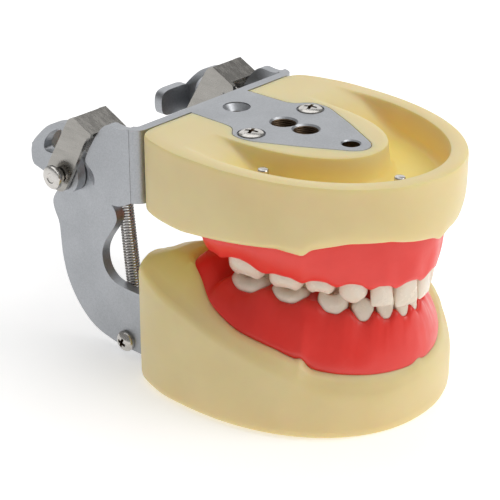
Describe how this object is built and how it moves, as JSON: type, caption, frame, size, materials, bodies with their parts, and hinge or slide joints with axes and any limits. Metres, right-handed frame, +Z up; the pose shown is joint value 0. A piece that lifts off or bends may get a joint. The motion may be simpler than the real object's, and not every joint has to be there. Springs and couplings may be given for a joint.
{
  "type": "typodont model",
  "caption": "Hinged child dental training model: two plastic jaws with gums and teeth on a sprung sheet-metal articulator with side latches.",
  "frame": {"origin": "middle of the plan on the bench plane under the lower jaw", "axes": "+Z up, the front of the mouth faces -Y, the patient's right is -X, the hinge axis is parallel to X"},
  "size_m": [0.0672, 0.1016, 0.0615],
  "materials": {
    "cream_plastic": "smooth, slightly translucent",
    "red_gum": "soft satin",
    "tooth_resin": "glossy ivory",
    "aluminium_sheet": "fine matte grain",
    "nickel_steel": "bright plated",
    "spring_wire": "drawn wire"
  },
  "bodies": {
    "lower_jaw": {"lower_base": "cream_plastic", "lower_gum": "red_gum", "lower_right_central_incisor": "tooth_resin", "lower_right_lateral_incisor": "tooth_resin", "lower_right_canine": "tooth_resin", "lower_right_first_primary_molar": "tooth_resin", "lower_right_second_primary_molar": "tooth_resin", "lower_right_first_molar": "tooth_resin", "lower_left_central_incisor": "tooth_resin", "lower_left_lateral_incisor": "tooth_resin", "lower_left_canine": "tooth_resin", "lower_left_first_primary_molar": "tooth_resin", "lower_left_second_primary_molar": "tooth_resin", "lower_left_first_molar": "tooth_resin", "lower_frame": "aluminium_sheet", "lower_plate_screw_right": "nickel_steel", "lower_plate_screw_left": "nickel_steel", "cross_rod": "nickel_steel", "rod_screw_right": "nickel_steel", "rod_screw_left": "nickel_steel", "hinge_pin_right": "nickel_steel", "hinge_pin_left": "nickel_steel", "spring_right": "spring_wire", "spring_left": "spring_wire"},
    "upper_jaw": {"upper_base": "cream_plastic", "upper_gum": "red_gum", "upper_right_central_incisor": "tooth_resin", "upper_right_lateral_incisor": "tooth_resin", "upper_right_canine": "tooth_resin", "upper_right_first_primary_molar": "tooth_resin", "upper_right_second_primary_molar": "tooth_resin", "upper_right_first_molar": "tooth_resin", "upper_left_central_incisor": "tooth_resin", "upper_left_lateral_incisor": "tooth_resin", "upper_left_canine": "tooth_resin", "upper_left_first_primary_molar": "tooth_resin", "upper_left_second_primary_molar": "tooth_resin", "upper_left_first_molar": "tooth_resin", "upper_frame": "aluminium_sheet", "upper_plate_screw_right": "nickel_steel", "upper_plate_screw_left": "nickel_steel", "gum_screw_side": "nickel_steel", "gum_screw_front": "nickel_steel"},
    "latch_right": {"latch_clip_right": "nickel_steel", "latch_lever_right": "aluminium_sheet"},
    "latch_left": {"latch_clip_left": "nickel_steel", "latch_lever_left": "aluminium_sheet"}
  },
  "joints": [
    {"name": "jaw_hinge", "type": "hinge", "parent": "lower_jaw", "child": "upper_jaw", "pos_m": [0, 0.0396, 0.0438], "axis": [-1, 0, 0], "range_deg": [0, 32], "stiffness_Nm_per_rad": 0.12, "springref_deg": -40.11, "deforming": ["spring_right", "spring_left"]},
    {"name": "latch_right_swing", "type": "hinge", "parent": "upper_jaw", "child": "latch_right", "pos_m": [0, 0.0396, 0.0438], "axis": [-1, 0, 0], "range_deg": [0, 12], "stiffness_Nm_per_rad": 0.02, "springref_deg": -22.92},
    {"name": "latch_left_swing", "type": "hinge", "parent": "upper_jaw", "child": "latch_left", "pos_m": [0, 0.0396, 0.0438], "axis": [-1, 0, 0], "range_deg": [0, 12], "stiffness_Nm_per_rad": 0.02, "springref_deg": -22.92}
  ]
}
